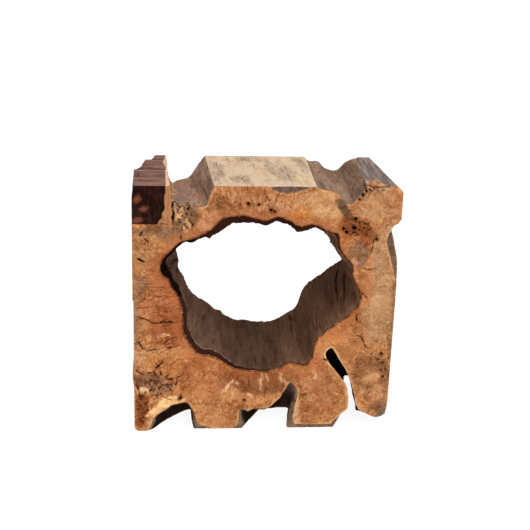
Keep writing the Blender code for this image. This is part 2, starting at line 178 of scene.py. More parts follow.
# Colour patches of the front cut: x, z, half width, half height, turn in degrees, colour, strength.
# Those of full strength have crisp edges.
PATCHES = [
    (270, 540, 120, 26, 0, (190, 134, 92), 0.7),
    (200, 540, 34, 22, -20, BROWN, 0.75),
    (230, 560, 30, 12, 0, PINK_TAN, 0.6),
    (160, 506, 30, 15, 30, PINK_TAN, 0.9),
    (108, 520, 32, 42, 10, (128, 92, 64), 0.95),
    (98, 528, 8, 20, -10, TAN, 0.9),
    (128, 536, 18, 9, 0, GREY_BROWN, 0.8),
    (112, 500, 7, 12, 30, PALE, 0.8),
    (45, 483, 46, 15, 0, (140, 100, 70), 0.9),
    (70, 470, 26, 22, 0, GREY_BROWN, 0.5),
    (28, 440, 34, 36, 0, (180, 132, 90), 0.75),
    (60, 452, 16, 14, 0, (196, 132, 80), 0.6),
    (62, 340, 60, 70, 0, (176, 110, 69), 0.85),
    (78, 262, 44, 52, 0, (158, 92, 54), 0.9),
    (14, 352, 16, 30, 0, GREY_TAN, 0.8),
    (8, 260, 9, 110, 0, GREY_TAN, 0.75),
    (54, 192, 76, 13, 6, (196, 140, 92), 0.85),
    (12, 186, 18, 22, 0, TAN, 0.7),
    (90, 172, 50, 30, 0, (194, 128, 78), 0.7),
    (132, 168, 30, 20, 0, (190, 120, 70), 0.7),
    (34, 126, 38, 26, -10, (142, 99, 70), 0.9),
    (60, 108, 26, 20, 30, (146, 102, 72), 0.8),
    (52, 132, 8, 16, 20, (110, 74, 52), 0.8),
    (12, 118, 10, 14, 0, (112, 78, 56), 0.8),
    (20, 99, 17, 13, 35, (228, 180, 134), 1.0),
    (18, 50, 17, 46, 0, DEEP_RED, 0.85),
    (20, 22, 20, 18, 0, RED_BROWN, 0.8),
    (60, 58, 44, 13, 35, (236, 186, 128), 1.0),
    (96, 76, 28, 10, 20, (230, 180, 124), 1.0),
    (46, 34, 12, 24, -30, (214, 162, 112), 0.9),
    (155, 130, 64, 46, -20, (172, 108, 66), 0.8),
    (140, 90, 30, 22, 0, (196, 134, 84), 0.6),
    (290, 122, 80, 34, 0, (134, 82, 50), 0.95),
    (240, 140, 40, 14, 10, (150, 92, 56), 0.7),
    (350, 146, 26, 14, -10, (150, 94, 58), 0.8),
    (210, 118, 22, 18, 0, BROWN, 0.5),
    (190, 50, 46, 30, 0, (182, 124, 80), 0.8),
    (300, 70, 50, 12, 0, (196, 134, 86), 0.6),
    (410, 96, 56, 62, 0, (172, 114, 74), 0.8),
    (372, 52, 9, 44, 0, PALE, 0.75),
    (425, 52, 40, 9, 0, RED_ORANGE, 0.45),
    (400, 150, 40, 20, 20, (184, 116, 70), 0.6),
    (422, 215, 26, 26, 40, (206, 142, 90), 0.85),
    (458, 232, 30, 20, 30, (200, 130, 80), 0.7),
    (470, 258, 20, 12, 40, RED_ORANGE, 0.5),
    (540, 320, 40, 96, 0, (182, 138, 98), 0.9),
    (548, 250, 32, 40, 0, (172, 128, 89), 0.8),
    (516, 352, 22, 46, -10, (186, 122, 78), 0.6),
    (500, 232, 26, 26, 0, (180, 120, 78), 0.7),
    (535, 140, 48, 56, 0, (150, 103, 69), 0.85),
    (556, 92, 22, 22, 0, (204, 150, 106), 0.6),
    (560, 58, 20, 20, 30, (122, 84, 58), 0.8),
    (492, 428, 26, 36, -8, (142, 104, 76), 1.0),
    (545, 432, 22, 52, 0, (176, 132, 94), 0.9),
    (558, 480, 20, 26, 0, (184, 138, 98), 0.7),
    (478, 492, 40, 24, -10, RED_BROWN, 0.9),
    (508, 472, 26, 20, 20, (142, 84, 50), 0.8),
    (452, 470, 18, 14, 0, (190, 116, 66), 0.6),
    (404, 542, 62, 30, -8, (198, 148, 102), 0.95),
    (360, 524, 26, 20, 0, (190, 120, 62), 0.85),
    (345, 545, 30, 22, 0, (192, 134, 90), 0.6),
    (524, 546, 46, 36, 0, (190, 140, 98), 0.95),
    (530, 618, 56, 40, 0, (206, 160, 124), 0.95),
    (518, 597, 24, 6, 4, (104, 70, 46), 0.9),
    (499, 574, 9, 9, 0, (100, 67, 44), 0.9),
    (544, 600, 12, 5, -10, (112, 78, 54), 0.8),
    (577, 200, 5, 190, 0, (128, 90, 62), 0.75),
    (560, 520, 18, 30, 0, (186, 132, 90), 0.7),
    (456, 536, 12, 34, 30, (106, 78, 56), 1.0),
    (468, 516, 8, 16, 20, (112, 74, 48), 0.9),
    (484, 412, 4, 8, 20, (222, 168, 140), 0.8),
    (490, 386, 4, 6, 0, (218, 160, 130), 0.7),
    (102, 484, 14, 20, 0, (138, 102, 76), 0.85),
    (118, 488, 7, 12, 10, PALE, 0.8),
    (44, 415, 26, 12, -20, (150, 98, 58), 0.6),
    (84, 420, 22, 18, 30, RED_ORANGE, 0.7),
    (300, 532, 9, 12, 0, (146, 104, 68), 0.7),
    (500, 378, 16, 8, 0, (150, 98, 62), 0.7),
    (563, 160, 12, 18, 0, (138, 92, 58), 0.8),
    (540, 128, 16, 12, 0, (210, 158, 106), 0.7),
    (515, 100, 16, 12, 0, (200, 146, 98), 0.5),
    (250, 60, 12, 8, 0, DEEP_RED, 0.5),
    (225, 86, 20, 12, 20, (200, 140, 90), 0.5),
    (400, 60, 26, 14, 0, (160, 104, 64), 0.5),
    (350, 140, 24, 16, -30, (160, 98, 58), 0.6),
]

# Colours of the other surfaces.
HEARTWOOD = (31, 16, 13)
HEART_RED = (52, 28, 22)
HEART_SPOT = (116, 64, 47)
HEART_SIDE = (78, 45, 35)
# The post's top: its long-grain colour, made paler and greyer with painted sheen.
POST_TOP_WITH_SHEEN = (158, 120, 107)
POST_TOP_DARK_WITH_SHEEN = (94, 64, 55)
SAPWOOD = (168, 116, 78)
# The sapwood's top: its long-grain colour, made paler and greyer with painted sheen.
SAPWOOD_TOP_WITH_SHEEN = (226, 186, 152)
RIM_DARK = (48, 22, 14)
RIM_BROWN = (88, 42, 24)
RIM_RED = (158, 84, 46)
TOP_CREAM = (226, 198, 168)
TOP_GREY = (184, 160, 138)
TOP_STREAK = (144, 116, 94)
TOP_EDGE = (126, 88, 62)
PEAK_GREY = (158, 140, 128)
PEAK_DARK = (112, 98, 94)
SIDE_TAN = (188, 144, 104)
SIDE_STREAK = (120, 82, 56)
WEATHERED = (164, 133, 112)
WEATHERED_DARK = (130, 105, 89)
WEATHERED_WARM = (152, 112, 84)
WEATHERED_FLECK = (96, 72, 56)
WALL = (92, 67, 53)
WALL_DARK = (74, 52, 41)
WALL_LIGHT = (122, 98, 82)
# Painted highlight along the lip where the hollow's dark rim ends.
LIP_HIGHLIGHT = (142, 122, 106)
# Painted shade in carved cracks, holes, pits, grooves and checks.
CREVICE_SHADE = (62, 32, 19)
NEAR_BLACK = (22, 11, 8)

# Soft, crumbling places on the front cut, and those marked with rays: x, z, half width, half height.
CRUMBLING = [
    (18, 60, 20, 60), (105, 515, 26, 45), (485, 490, 42, 24), (518, 580, 34, 12), (498, 570, 14, 12),
    (60, 120, 50, 30),
]
RAYED = [(50, 300, 90, 130), (270, 560, 110, 50), (300, 120, 80, 40)]

# Calm places on the front cut, where the figure is faint.
CALM = [
    (400, 544, 66, 36), (524, 544, 52, 44), (548, 420, 36, 100), (542, 300, 44, 90), (425, 215, 26, 26),
    (74, 590, 12, 100),
]

# Where the front cut's outer edge is pale all along.
PALE_RIMS = [(446, 190, 36, 40), (376, 50, 16, 50), (455, 20, 60, 20)]

# Greyer clouds on the top cut: x, place back from the front cut, half width, half depth.
TOP_CLOUDS = [
    (186, 120, 15, 90), (232, 50, 22, 44), (262, 215, 30, 50), (304, 150, 17, 120), (334, 100, 28, 90),
    (374, 190, 20, 70),
]

# The right-hand peak's front edge is worn round between these two places, by this radius. It is as
# pale as the front cut as far back as the last table says, as x and depth.
WORN = (498, 572)
WORN_RADIUS = 30
WORN_BACK = ((498, 52), (519, 66), (534, 58), (547, 24), (569, 2))

# The grey of the right-hand peak's top begins here.
PEAK_LEFT = 499

# The left-hand valley's crumbling part, as ranges of x and z, and the height where it turns grey.
CRUMBLY_SPAN = (84, 148)
CRUMBLY_HEIGHTS = (495, 575)
CRUMBLY_GREY = 532

# Where shade is painted on the trunk's own surface at the front: the gaps between the feet and the
# slot, as ranges of x and the heights that they stay under, the middle gap's right flank, the scoop
# in the right-hand side, and the strip under the top cut.
FEET_TOP = 215
LEFT_GAP = (30, 160)
LEFT_GAP_TOP = 80
MIDDLE_GAP = (225, 376)
MIDDLE_FLANK = (335, 350)
SLOT_SPAN = (425, 552)
SCOOP_LEFT = 545
SCOOP_HEIGHTS = (335, 520)
STRIP_SPAN = (250, 392)
STRIP_BOTTOM = 560
STRIP_DEPTH = 14

# The hollow's pocket of painted shade, as its angle, depth and half width of each, and how dark painted
# shade gets.
POCKET_PAINTED_SHADE = (160, 46, 26, 92)
DARKEST_PAINTED_SHADE = 0.97

# Small shifts of the outline: the heights between which the left cut stands out by a step, and the
# step; its dip, as height, reach and depth; how far the right cut stands out; and the scoop's deepest
# stretch, as the heights where it begins and ends, and how much deeper it is.
LEFT_STEP = (322, 556)
LEFT_OUT = 2.0
LEFT_DIP = (142, 24, 3.0)
RIGHT_OUT = 2.0
SCOOP_BEGINS = (395, 470)
SCOOP_ENDS = (503, 511)
SCOOP_DEEPER = 8.0

# Random hair cracks lie round the hollow: half width and half height of the ring that they begin on,
# how much further out they can be, and how close to the outline.
HAIR_RING = (235, 190)
HAIR_FURTHER = (60, 80)
HAIR_MARGIN = 12

# The heartwood corner: its right edge, its lower edge, and the sapwood's right edge.
HEART_RIGHT = 63
HEART_BOTTOM = 497
SAP_RIGHT = 84
HEART_SPOTS = [(10, 553, 8, 8), (23, 531, 8, 7), (10, 506, 11, 7)]


def linear(colour):
    """A screen colour of 0 to 255 as the linear colour that shaders take."""
    made = []
    for part in colour:
        part /= 255
        made.append(part / 12.92 if part <= 0.04045 else ((part + 0.055) / 1.055) ** 2.4)
    return np.array(made)


def lattice(ix, iy, iz, seed):
    """A fixed random value from -1 to 1 at each whole-numbered point."""
    mixed = ix * 374761393 + iy * 668265263 + iz * 1440662683 + seed * 974711
    mixed = ((mixed ^ (mixed >> 13)) * 1274126177) & 0xFFFFFFFF
    mixed = ((mixed ^ (mixed >> 15)) * 2246822519) & 0xFFFFFFFF
    return ((mixed ^ (mixed >> 16)) & 0xFFFF) / 32767.5 - 1


def noise(points, across, along, seed):
    """Smooth noise from about -1 to 1, its features so long along the grain (y) and across it."""
    scaled = points / np.array((across, along, across), float)
    cell = np.floor(scaled).astype(np.int64)
    share = scaled - cell
    share = share * share * (3 - 2 * share)
    total = 0
    for corner in range(8):
        step = np.array([corner & 1, corner >> 1 & 1, corner >> 2 & 1])
        weight = np.prod(np.where(step, share, 1 - share), axis=1)
        total = total + weight * lattice(*(cell + step).T, seed)
    return total


def layered(points, across, along, seed, layers=3):
    """Several layers of noise, each half the size and height of the one before."""
    total = 0
    for layer in range(layers):
        part = 2**layer
        total = total + noise(points, across / part, along / part, seed + layer) / part
    return total


def smooth(value, low, high):
    """0 below low, 1 above high, and an even rise between."""
    share = np.clip((value - low) / (high - low), 0, 1)
    return share * share * (3 - 2 * share)


def within(value, span):
    """Whether each value lies between the two ends of the span."""
    return (value > span[0]) & (value < span[1])


def line_distance(x, z, points):
    """How far each place is from a line through the points, and how far along the line, 0 to 1."""
    nearest = np.full(len(x), 1e9)
    along = np.zeros(len(x))
    count = len(points) - 1
    for i, (a, b) in enumerate(zip(points, points[1:])):
        run = np.array(b, float) - a
        share = np.clip(((x - a[0]) * run[0] + (z - a[1]) * run[1]) / (run @ run), 0, 1)
        away = np.hypot(x - a[0] - share * run[0], z - a[1] - share * run[1])
        closer = away < nearest
        nearest = np.where(closer, away, nearest)
        along = np.where(closer, (i + share) / count, along)
    return nearest, along


def read_vectors(items, name):
    """The positions or normals that a mesh keeps under a name."""
    values = np.empty(len(items) * 3, np.float32)
    items.foreach_get(name, values)
    return values.reshape(-1, 3).astype(float)


def evaluated_copy(piece):
    """The piece's mesh with its modifiers applied."""
    graph = bpy.context.evaluated_depsgraph_get()
    return bpy.data.meshes.new_from_object(piece.evaluated_get(graph))


def fine_mesh(node):
    """The solid's surface as even small faces."""
    shape = bmesh.new()
    shape.from_mesh(node.data)
    bmesh.ops.remove_doubles(shape, verts=shape.verts, dist=1e-6)
    mesh = bpy.data.meshes.new("coarse")
    shape.to_mesh(mesh)
    shape.free()
    coarse = bpy.data.objects.new("coarse", mesh)
    bpy.context.scene.collection.objects.link(coarse)
    remesh = coarse.modifiers.new("fine", "REMESH")
    remesh.mode = "VOXEL"
    remesh.voxel_size = FINE
    remesh.adaptivity = 0
    fine = evaluated_copy(coarse)
    bpy.data.objects.remove(coarse)
    return fine


def reduced(piece):
    """The piece's mesh with fewer triangles, most of them where its relief is."""
    triangles = sum(len(face.vertices) - 2 for face in piece.data.polygons)
    fewer = piece.modifiers.new("fewer", "DECIMATE")
    fewer.ratio = MOST_TRIANGLES / triangles
    mesh = evaluated_copy(piece)
    piece.modifiers.remove(fewer)
    return mesh


class Surface:
    """Where each point of the uncarved mesh lies, in millimetres, and what part of the slice it is on."""

    def __init__(self, mesh, low, high):
        self.normal = read_vectors(mesh.vertex_normals, "vector")
        self.place = (read_vectors(mesh.vertices, "co") - np.array(low)) / MM
        self.width, self.depth, self.height = (np.array(high) - np.array(low)) / MM
        self.x, self.y, self.z = self.place.T
        self.front = self.y < ON_CUT
        self.back = self.y > self.depth - ON_CUT
        self.top = self.z > self.height - ON_CUT
        self.bottom = self.z < ON_CUT
        self.left = self.x < ON_CUT
        self.right = self.x > self.width - ON_CUT
        self.end = self.front | self.back
        self.sawn = self.end | self.top | self.bottom | self.left | self.right
        across = (self.x - HOLLOW[0]) / HOLLOW_REACH[0]
        up = (self.z - HOLLOW[1]) / HOLLOW_REACH[1]
        in_pocket = np.hypot(self.x - POCKET[0], self.z - POCKET[1]) < POCKET_REACH
        in_slot = (self.x > SLOT_TOP[0]) & (self.z < SLOT_TOP[1])
        self.wall = ((np.hypot(across, up) < 1) | in_pocket) & ~in_slot & ~self.end
        self.natural = ~self.sawn & ~self.wall
        share = self.y / self.depth
        middle_x = HOLLOW[0] + (HOLLOW_REAR[0] - HOLLOW[0]) * share
        middle_z = HOLLOW[1] + (HOLLOW_REAR[1] - HOLLOW[1]) * share
        self.angle = np.degrees(np.arctan2(self.z - middle_z, self.x - middle_x))
        twist = FIBRE_TWIST * np.maximum(0, np.cos(np.radians(self.angle)))
        self.round_wall = self.angle - twist * self.y
        turned = np.radians(self.round_wall)
        along = np.stack([np.cos(turned) * HOLLOW_RADIUS, self.y, np.sin(turned) * HOLLOW_RADIUS], axis=1)
        self.along_grain = np.where(self.wall[:, None], along, self.place)


def hole_depth(surface, holes):
    """How deep each point of a cut lies in an insect hole."""
    depth = np.zeros(len(surface.x))
    for x, z, radius in holes:
        near = np.flatnonzero(np.abs(surface.x - x) + np.abs(surface.z - z) < 3 * radius)
        away = np.hypot(surface.x[near] - x, surface.z[near] - z)
        depth[near] = np.maximum(depth[near], HOLE_DEPTH * (1 - smooth(away, radius * 0.55, radius + 0.4)))
    return depth


def crack_depth(surface, cracks):
    """How deep each point of a cut lies in a crack."""
    depth = np.zeros(len(surface.x))
    wander = 1.8 * noise(surface.place, 9, 9, 71) + 0.9 * noise(surface.place, 4, 4, 72)
    swell = np.clip(0.7 + 1.1 * noise(surface.place, 9, 9, 73), 0.1, 1.5)
    for width, deep, points in cracks:
        xs, zs = zip(*points)
        near = (surface.x > min(xs) - 8) & (surface.x < max(xs) + 8)
        near = np.flatnonzero(near & (surface.z > min(zs) - 8) & (surface.z < max(zs) + 8))
        away, along = line_distance(surface.x[near] + wander[near], surface.z[near] - wander[near], points)
        taper = smooth(along, 0, 0.12) * (1 - smooth(along, 0.85, 1))
        half = width * (0.35 + 0.65 * taper) * swell[near] / 2 + 0.5
        here = deep * (0.3 + 0.7 * taper) * np.minimum(1, swell[near] + 0.25)
        here = here * (1 - smooth(away, half * 0.4, half + 0.4))
        depth[near] = np.maximum(depth[near], here)
    return depth


def hair_cracks(seed, count, surface):
    """Short random cracks that run outward from the hollow."""
    draw = np.random.default_rng(seed)
    made = []
    while len(made) < count:
        angle = draw.uniform(0, 2 * math.pi)
        reach = draw.uniform(0.25, 0.9)
        x = HOLLOW[0] + math.cos(angle) * (HAIR_RING[0] + HAIR_FURTHER[0] * reach)
        z = HOLLOW[1] + math.sin(angle) * (HAIR_RING[1] + HAIR_FURTHER[1] * reach)
        if not HAIR_MARGIN < x < surface.width - HAIR_MARGIN:
            continue
        if not HAIR_MARGIN < z < surface.height - HAIR_MARGIN:
            continue
        turn = angle + draw.normal(0, 0.35)
        half = draw.uniform(8, 30) / 2
        bent = turn + draw.normal(0, 0.25)
        middle = (x + math.cos(turn) * half, z + math.sin(turn) * half)
        end = (middle[0] + math.cos(bent) * half, middle[1] + math.sin(bent) * half)
        made.append((draw.uniform(0.4, 1.2), draw.uniform(1.0, 2.6), [(x, z), middle, end]))
    return made


def random_holes(seed, count, surface):
    """Insect holes at random places on a cut."""
    draw = np.random.default_rng(seed)
    wide = draw.uniform(30, surface.width - 30, count)
    tall = draw.uniform(60, surface.height - 25, count)
    return list(zip(wide, tall, draw.uniform(2.4, 3.8, count)))


def spots(across, up, places):
    """1 inside ellipses given by their middle, half width and half height, and 0 away from them."""
    inside = np.zeros(len(across))
    for x, z, wide, tall in places:
        away = np.hypot((across - x) / wide, (up - z) / tall)
        inside = np.maximum(inside, 1 - smooth(away, 0.5, 1.15))
    return inside


def end_relief(surface):
    """How far each point of the front and rear cuts is carved in, and its painted shade in cracks and
    pits.
    """
    soft = np.where(surface.front, spots(surface.x, surface.z, CRUMBLING), 0.2)
    pit_noise = layered(surface.place, 5, 5, 11)
    pits = smooth(pit_noise, 0.55 - 0.35 * soft, 1.1 - 0.3 * soft) * (0.7 + 2.6 * soft)
    grain = 0.16 * layered(surface.place, 6, 6, 12)
    grain = grain + 0.5 * soft * layered(surface.place, 7, 7, 13)
    front = np.maximum(crack_depth(surface, CRACKS), hole_depth(surface, HOLES))
    front = np.maximum(front, crack_depth(surface, hair_cracks(5, 45, surface)))
    rear = np.maximum(
        crack_depth(surface, hair_cracks(9, 110, surface)),
        hole_depth(surface, random_holes(4, 12, surface)),
    )
    cut = np.where(surface.front, front, rear) * surface.end
    inward = (cut + pits + np.maximum(grain, -0.3)) * surface.end
    # Painted shade: cracks, holes and pits darker the deeper they are carved.
    dark = np.maximum(smooth(cut, 0.7, 4.6), 0.75 * smooth(pits, 0.3, 1.8)) * surface.end
    return inward, dark


def groove_share(surface):
    """How deep each point of the hollow's wall lies in a groove."""
    depth = 1.6 * smooth(noise(surface.along_grain, 7, 110, 23), 0.5, 0.85)
    wander = 0.7 * noise(surface.place, 300, 34, 25) + 0.3 * noise(surface.place, 300, 12, 26)
    broken = 0.25 + 0.75 * smooth(noise(surface.along_grain, 9, 26, 27), -0.6, 0.1)
    for angle, half, deep, begin, end in GROOVES:
        away = np.abs(surface.round_wall + wander - angle)
        reach = smooth(surface.y, begin, begin + 15) * (1 - smooth(surface.y, end - 15, end))
        depth = np.maximum(depth, deep * reach * broken * (1 - smooth(away, half * 0.3, half)))
    return depth * surface.wall


def worn_edge(surface):
    """How far the points of the right-hand peak's front edge move, where it is worn round."""
    begin, end = WORN
    radius = WORN_RADIUS * smooth(surface.x, begin, begin + 18) * (1 - smooth(surface.x, end - 30, end))
    down = surface.height - surface.z
    near = np.flatnonzero((radius > 1) & (surface.y < radius) & (down < radius))
    radius = radius[near]
    back = surface.y[near] - radius
    below = down[near] - radius
    share = radius / np.hypot(back, below) - 1
    moved = np.zeros_like(surface.place)
    moved[near, 1] = back * share
    moved[near, 2] = -below * share
    return moved


def hanging_lumps(surface):
    """How far the points of the hollow's roof hang down behind the front cut."""
    down = np.zeros(len(surface.x))
    for x, half, drop in LUMPS:
        down = np.maximum(down, drop * (1 - smooth(np.abs(surface.x - x), 0, half)))
    near_rim = smooth(surface.y, 2, 12) * (1 - smooth(surface.y, 30, 80))
    return down * near_rim * (surface.z > LUMPS_ABOVE) * surface.wall


def outline_shift(surface):
    """How far the points of the left and right sides move to the right."""
    x, y, z = surface.place.T
    scoop = smooth(z, *SCOOP_BEGINS) * (1 - smooth(z, *SCOOP_ENDS)) * (x > 562)
    scoop = scoop * (1 - smooth(y, 60, 125)) * (surface.right | surface.natural)
    height, reach, depth = LEFT_DIP
    dip = surface.left * depth * np.exp(-(((z - height) / reach) ** 2))
    step = LEFT_OUT * (surface.left & within(z, LEFT_STEP))
    return RIGHT_OUT * surface.right * smooth(z, 20, 60) - SCOOP_DEEPER * scoop - step - dip


def carve(surface):
    """How far each point of the mesh moves, in millimetres, and how much painted shade its crevices get.
    """
    place, normal = surface.place, surface.normal
    moved = np.zeros_like(place)
    inward, dark = end_relief(surface)
    moved[:, 1] = np.where(surface.front, inward, -inward) * (np.abs(normal[:, 1]) > 0.8)

    fade = np.minimum(smooth(surface.y, 0.5, 7), smooth(surface.depth - surface.y, 0.5, 4))
    along = surface.along_grain
    fibre = 1.1 * layered(along, 11, 130, 21) + 0.7 * layered(along, 4, 50, 22)
    groove = groove_share(surface)
    at_rear = smooth(surface.y, surface.depth - 30, surface.depth - 6)
    ragged = at_rear * 3.0 * layered(place, 7, 18, 24, 2)
    in_wall = ((fibre - 1.2 - groove) * (0.35 + 0.65 * fade) + ragged) * surface.wall

    ripple = 1.2 * layered(place, 13, 140, 31) + 0.5 * noise(place, 4, 44, 32) - 0.6
    flaw = smooth(noise(place, 6, 52, 33), 0.5, 0.9) * 1.8
    in_natural = (ripple - flaw) * fade * surface.natural

    long_cut = surface.sawn & ~surface.end
    check = smooth(noise(place, 5, 90, 41), 0.62, 0.85) * 1.4
    nick = smooth(noise(place, 3.4, 15, 42), 0.6, 0.9) * 0.8
    in_long_cut = -(check + nick + 0.12 * noise(place, 4, 30, 43)) * long_cut

    moved += normal * (in_wall + in_natural + in_long_cut)[:, None] + worn_edge(surface)
    # Painted shade: checks in the long cuts, grooves in the hollow's wall and dents in the trunk's
    # surface, darker with their depth.
    dark = np.maximum(dark, 0.6 * smooth(check + nick, 0.4, 1.3) * long_cut)
    dark = np.maximum(dark, 0.9 * smooth(groove, 0.6, 3.4) * surface.wall)
    dark = np.maximum(dark, 0.4 * smooth(flaw, 0.3, 1.5) * surface.natural)

    moved[:, 2] -= hanging_lumps(surface)
    moved[:, 0] += outline_shift(surface)
    return moved, dark


def patch_colours(surface):
    """The colour of the cuts at each point, from the patches on the front one."""
    warp = np.stack([layered(surface.place, 22, 90, seed, 5) for seed in (51, 61)], axis=1) * 6
    x, z = surface.x + warp[:, 0], surface.z + warp[:, 1] + surface.y * surface.top
    colour = np.tile(linear(ORANGE), (len(x), 1))
    for px, pz, wide, tall, turn, shade, strength in PATCHES:
        c, s = math.cos(math.radians(turn)), math.sin(math.radians(turn))
        u = ((x - px) * c + (z - pz) * s) / wide
        v = (-(x - px) * s + (z - pz) * c) / tall
        blur = 0.05 if strength == 1.0 else 0.16
        share = strength * (1 - smooth(np.hypot(u, v), 0.96 - blur, 0.96 + blur))
        colour += (linear(shade) - colour) * share[:, None]
    curl = np.zeros(len(x))
    bend = 1.8 * noise(surface.place, 7, 30, 53)
    for width, points in CURLS:
        away, _ = line_distance(surface.x + bend, surface.z - bend, points)
        curl = np.maximum(curl, 1 - smooth(away, width * 0.5, width * 1.1))
    colour += (linear(CURL) - colour) * (0.95 * curl * surface.front)[:, None]
    for hx, hz, radius in HOLES:
        away = np.hypot(surface.x + bend - hx, surface.z - bend - hz)
        stain = 0.75 * (1 - smooth(away, radius, 2.3 * radius + 1)) * surface.front
        colour += (linear(STAIN) - colour) * stain[:, None]
    return colour


def distance_along(surface, faces, targets):
    """How far each point of the faces is from the nearest target point, in millimetres."""
    away = np.full(len(surface.x), 99.0)
    targets = np.flatnonzero(targets)
    tree = KDTree(len(targets))
    for i in targets:
        tree.insert((surface.x[i], 0, surface.z[i]), int(i))
    tree.balance()
    for i in np.flatnonzero(faces):
        away[i] = tree.find((surface.x[i], 0, surface.z[i]))[2]
    return away


def edge_distances(surface):
    """How far each point of the end cuts is from the hollow and from the trunk's own surface."""
    to_hollow = np.full(len(surface.x), 99.0)
    to_outside = np.full(len(surface.x), 99.0)
    for face, at in ((surface.front, 0), (surface.back, surface.depth)):
        close = np.abs(surface.y - at) < 3
        to_hollow = np.minimum(to_hollow, distance_along(surface, face, close & surface.wall))
        to_outside = np.minimum(to_outside, distance_along(surface, face, close & surface.natural))
    return to_hollow, to_outside


def painted_recess_shade(surface):
    """How much painted shade darkens the trunk's surface in the gaps, recesses, undersides and pocket."""
    x, y, z = surface.place.T
    low_down = surface.natural & (z < FEET_TOP)
    left_gap = low_down & within(x, LEFT_GAP) & (z < LEFT_GAP_TOP)
    middle_gap = low_down & within(x, MIDDLE_GAP)
    slot = low_down & within(x, SLOT_SPAN)
    scoop = surface.natural & (x > SCOOP_LEFT) & within(z, SCOOP_HEIGHTS)
    strip = surface.natural & (y < STRIP_DEPTH) & within(x, STRIP_SPAN) & (z > STRIP_BOTTOM)
    flank = smooth(x, *MIDDLE_FLANK)
    in_pocket = spots(surface.angle, y, [POCKET_PAINTED_SHADE]) * surface.wall
    # Painted shade: the darkness of each place, the darkest of them kept.
    painted_shades = (
        0.4 * low_down * (1 - smooth(z, 30, 100)),
        DARKEST_PAINTED_SHADE * smooth(y, 2, 8) * left_gap,
        (DARKEST_PAINTED_SHADE - 0.05 * flank) * smooth(y, 5 - flank, 24 + 50 * flank) * middle_gap,
        DARKEST_PAINTED_SHADE * smooth(y, 5, 14) * slot,
        0.6 * smooth(-surface.normal[:, 2], 0.2, 0.7) * surface.natural,
        0.56 * scoop,
        0.5 * strip,
        DARKEST_PAINTED_SHADE * smooth(in_pocket, 0.02, 0.42),
    )
    return np.max(painted_shades, axis=0)


def cut_share(surface):
    """Where the end cuts' colours show: on the cuts, and past their edges where those crumble."""
    x, y, z = surface.place.T
    wander = layered(surface.place, 9, 14, 55)
    in_valley = within(x, CRUMBLY_SPAN) & within(z, CRUMBLY_HEIGHTS)
    share = surface.end.astype(float)
    past = smooth(16 - y + 20 * wander, 0, 7)
    share = np.where(in_valley & surface.natural, past, share)
    grey = smooth(z - CRUMBLY_GREY + 15 * wander, 0, 8)
    share = np.where(in_valley & surface.front, 1 - 0.85 * grey, share)
    back, reach = zip(*WORN_BACK)
    worn = smooth(np.interp(x, back, reach) - y + 9 * wander, 0, 6) * (x > WORN[0]) * (y < 90)
    on_peak = surface.top | ((z > surface.height - 14) & surface.natural)
    return np.where(on_peak, np.maximum(share, worn), share)


def rim_end(surface):
    """How deep the dark rim of the hollow reaches at each point of its wall, in millimetres."""
    angles, depths = zip(*RIM_DEPTHS)
    return np.interp(surface.angle, angles, depths) + 1.6 * layered(surface.place, 9, 60, 56)


def store(mesh, name, values):
    """Keeps a number, or a colour or place, for each point, for the material."""
    if values.ndim == 1:
        mesh.attributes.new(name, "FLOAT", "POINT").data.foreach_set("value", values)
    else:
        layer = mesh.attributes.new(name, "FLOAT_VECTOR", "POINT")
        layer.data.foreach_set("vector", values.ravel())


def work(mesh, low, high):
    """Carves the mesh and stores on it the wood's zones and the places of painted shade and painted light.
    """
    surface = Surface(mesh, low, high)
    moved, dark = carve(surface)
    to_hollow, to_outside = edge_distances(surface)
    warped = [part + 3.5 * layered(surface.place, 12, 12, 59) for part in (surface.x, surface.z)]
    across = surface.x + 13 * layered(surface.place, 26, 60, 57)
    back = surface.y + 40 * layered(surface.place, 30, 60, 58)
    # Painted light: the hollow's left wall, and the left-hand valley half as much, made lighter.
    left_wall_painted_light = smooth(surface.x, 250, 130) * surface.wall
    left_valley_painted_light = smooth(surface.x, 190, 170) * (surface.z > 480) * (surface.x > 70) * surface.natural
    zones = {
        "end_cut": cut_share(surface),
        "top_cut": surface.top & ~surface.end,
        "long_cut": surface.sawn & ~surface.end & ~surface.top,
        "wall": surface.wall,
        "to_hollow": to_hollow,
        "to_outside": to_outside,
        # Painted shade: in the carved crevices, then in the gaps, undersides and pocket.
        "dark": dark,
        "shade": painted_recess_shade(surface),
        "heart_spots": spots(*warped, HEART_SPOTS) * surface.front,
        "pale_rims": spots(surface.x, surface.z, PALE_RIMS) * surface.end,
        "rays": spots(surface.x, surface.z, RAYED),
        "calm": spots(surface.x, surface.z, CALM) * surface.front,
        "top_clouds": spots(across, back, TOP_CLOUDS) * surface.top,
        # Painted light: the right side of the hollow's wall, which the lamp leaves in shade, made lighter.
        "right_wall_painted_light": smooth(np.abs(surface.angle + 10), 80, 40) * surface.wall,
        "left_side_painted_light": np.maximum(left_wall_painted_light, 0.55 * left_valley_painted_light),
        "rim_end": rim_end(surface) * MM,
        "patches": patch_colours(surface),
        "along_grain": surface.along_grain * MM,
        # Painted highlight along the lip.
        "lip_highlight": smooth(np.abs(surface.angle + 135), 40, 20) * surface.wall,
    }
    for name, values in zones.items():
        store(mesh, name, values.astype(np.float32))
    places = read_vectors(mesh.vertices, "co") + moved * MM
    mesh.vertices.foreach_set("co", places.astype(np.float32).ravel())
    mesh.update()


